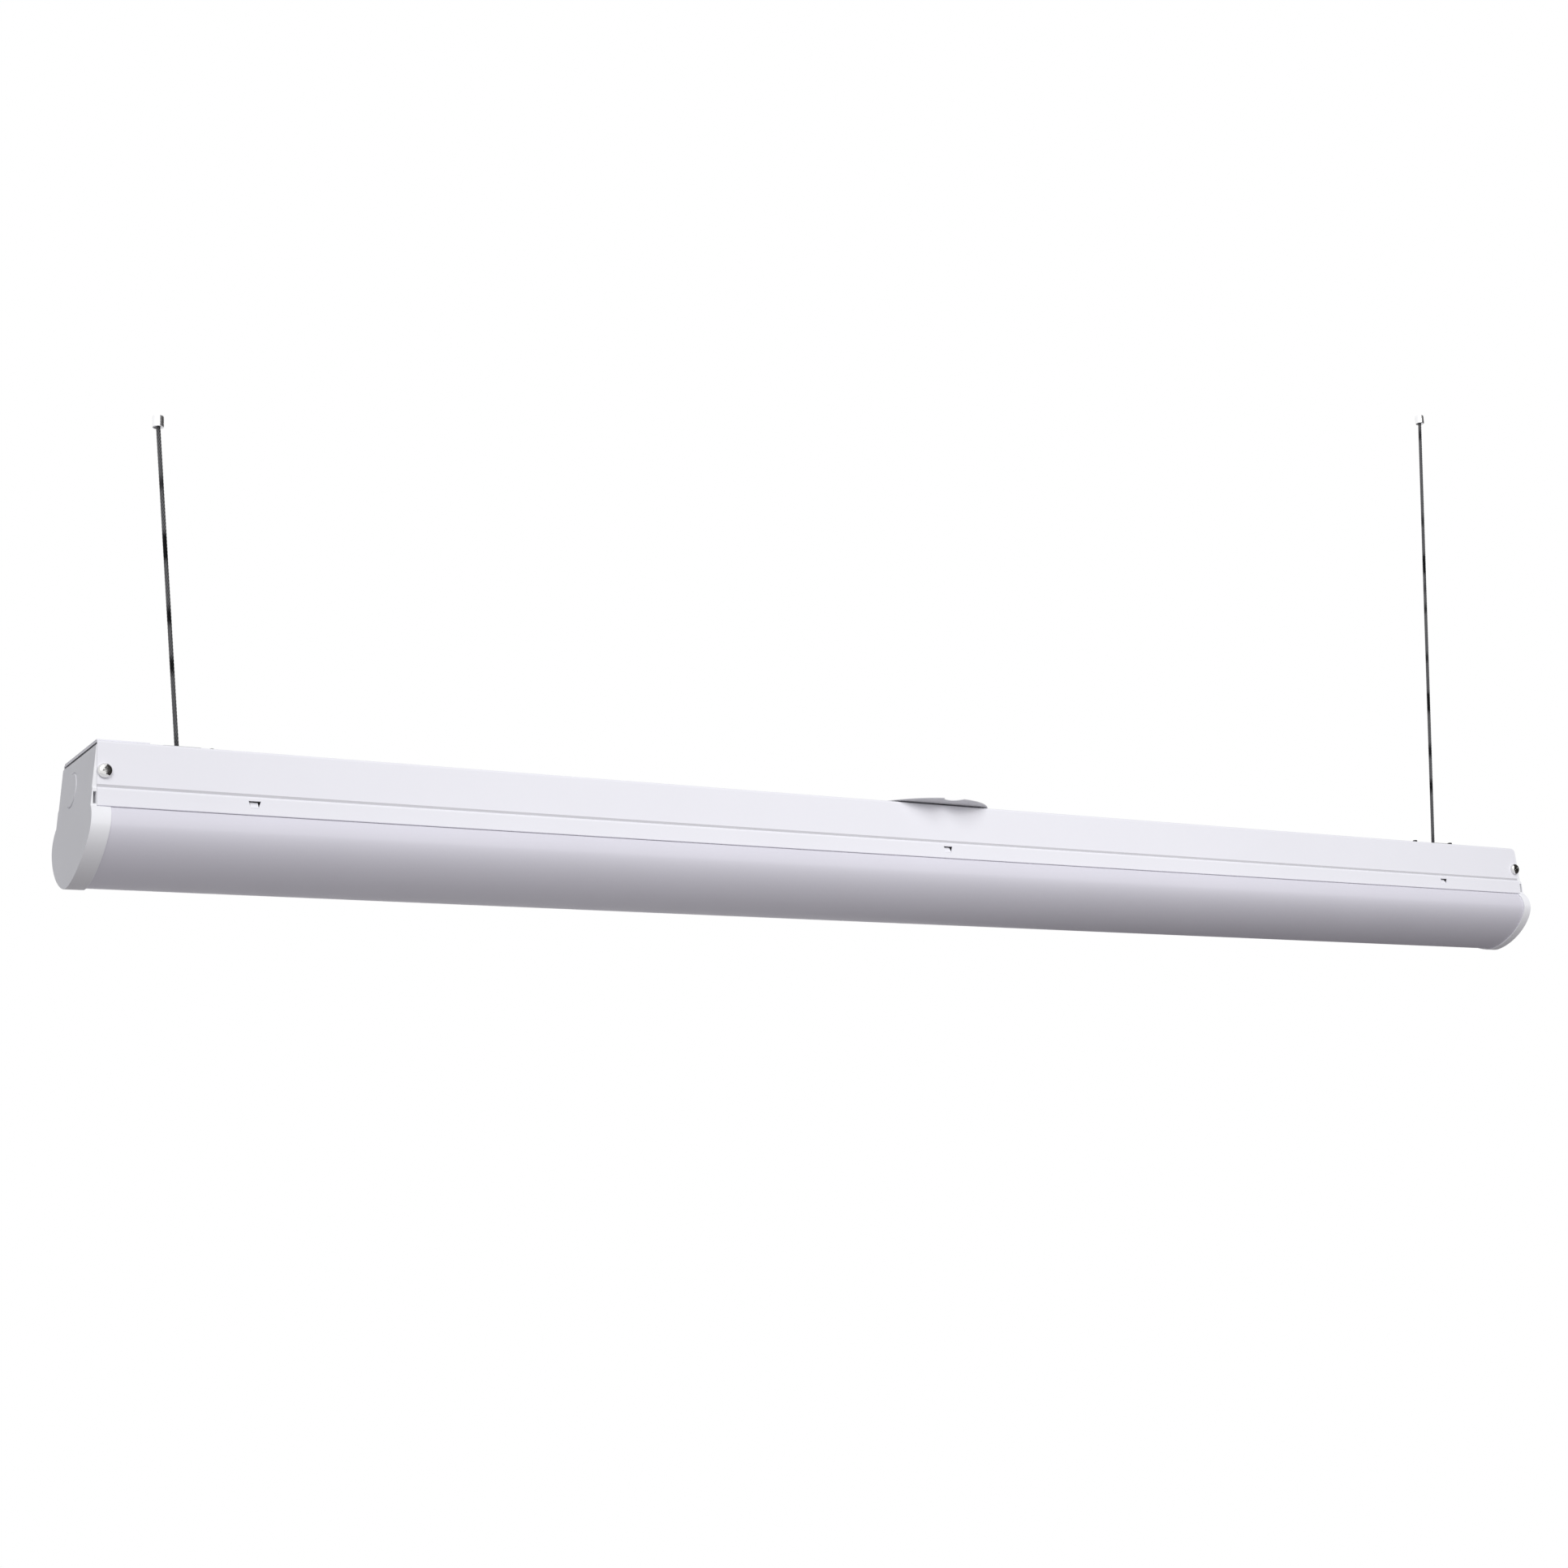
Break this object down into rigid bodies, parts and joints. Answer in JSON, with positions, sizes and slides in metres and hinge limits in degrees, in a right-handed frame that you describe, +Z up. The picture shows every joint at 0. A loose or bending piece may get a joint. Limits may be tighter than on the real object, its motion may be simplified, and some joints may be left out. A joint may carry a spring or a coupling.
{
  "type": "hanging shop light",
  "caption": "Long narrow ceiling light: white steel channel over a rounded frosted lens, moulded end caps, round junction plate on top, hung level from steel cables.",
  "frame": {"origin": "swing centre of the left cable's upper ball end, inside the left ceiling cup", "axes": "+X along the light from left to right, -Y to the front, +Z up"},
  "size_m": [1.2336, 0.1086, 0.4921],
  "materials": {
    "white_steel": "satin white paint",
    "tray_white": "gloss white paint",
    "lens_white": "frosted translucent white",
    "cap_white": "satin white moulded plastic",
    "chrome_screw": "bright plated steel",
    "zinc": "zinc-plated steel",
    "cable_steel": "twisted steel wire, dulled",
    "plate_grey": "plain painted steel",
    "gasket_black": "matt black rubber",
    "board_white": "white solder mask",
    "chip_yellow": "yellow phosphor resin",
    "driver_metal": "plain folded sheet",
    "circuit_green": "green laminate",
    "core_dark": "varnished core",
    "can_black": "black sleeve",
    "terminal_cream": "cream moulded plastic",
    "lead_black": "black insulation",
    "lead_white": "white insulation",
    "lead_green": "green insulation",
    "lead_red": "red insulation"
  },
  "bodies": {
    "ceiling": {"ceiling_cup_left": "zinc", "ceiling_cup_right": "zinc"},
    "suspension": {"cable_left": "cable_steel", "cable_right": "cable_steel", "upper_ball_end_left": "cable_steel", "upper_ball_end_right": "cable_steel", "lower_ball_end_left": "cable_steel", "lower_ball_end_right": "cable_steel"},
    "fixture": {"housing_channel": "white_steel", "led_tray": "tray_white", "lens": "lens_white", "end_cap_left": "cap_white", "end_cap_right": "cap_white", "end_cap_screws": "chrome_screw", "joiner_plate": "white_steel", "junction_cover": "plate_grey", "junction_gasket": "gasket_black", "junction_cover_screws": "zinc", "hanger_bridge_left": "zinc", "hanger_bridge_right": "zinc", "hanger_studs": "zinc", "hanger_nuts": "zinc", "led_board_left": "board_white", "led_board_right": "board_white", "led_chips_left": "chip_yellow", "led_chips_right": "chip_yellow", "board_rivets": "driver_metal", "board_jumper": "terminal_cream", "lamp_connector": "terminal_cream", "driver_case": "driver_metal", "driver_cover": "driver_metal", "driver_circuit_board": "circuit_green", "driver_transformer": "core_dark", "driver_capacitors": "can_black", "driver_screws": "zinc", "terminal_block": "terminal_cream", "line_lead": "lead_black", "neutral_lead": "lead_white", "lamp_leads": "lead_red", "ground_lead": "lead_green", "ground_screw": "zinc"}
  },
  "joints": [
    {"name": "cable_sway", "type": "hinge", "parent": "ceiling", "child": "suspension", "pos_m": [0, 0, 0], "axis": [0.9872, 0, 0.1597], "range_deg": [-20, 20]},
    {"name": "fixture_rock", "type": "hinge", "parent": "suspension", "child": "fixture", "pos_m": [0.01359, 0, -0.21417], "axis": [1, 0, 0], "range_deg": [-15, 15]}
  ]
}
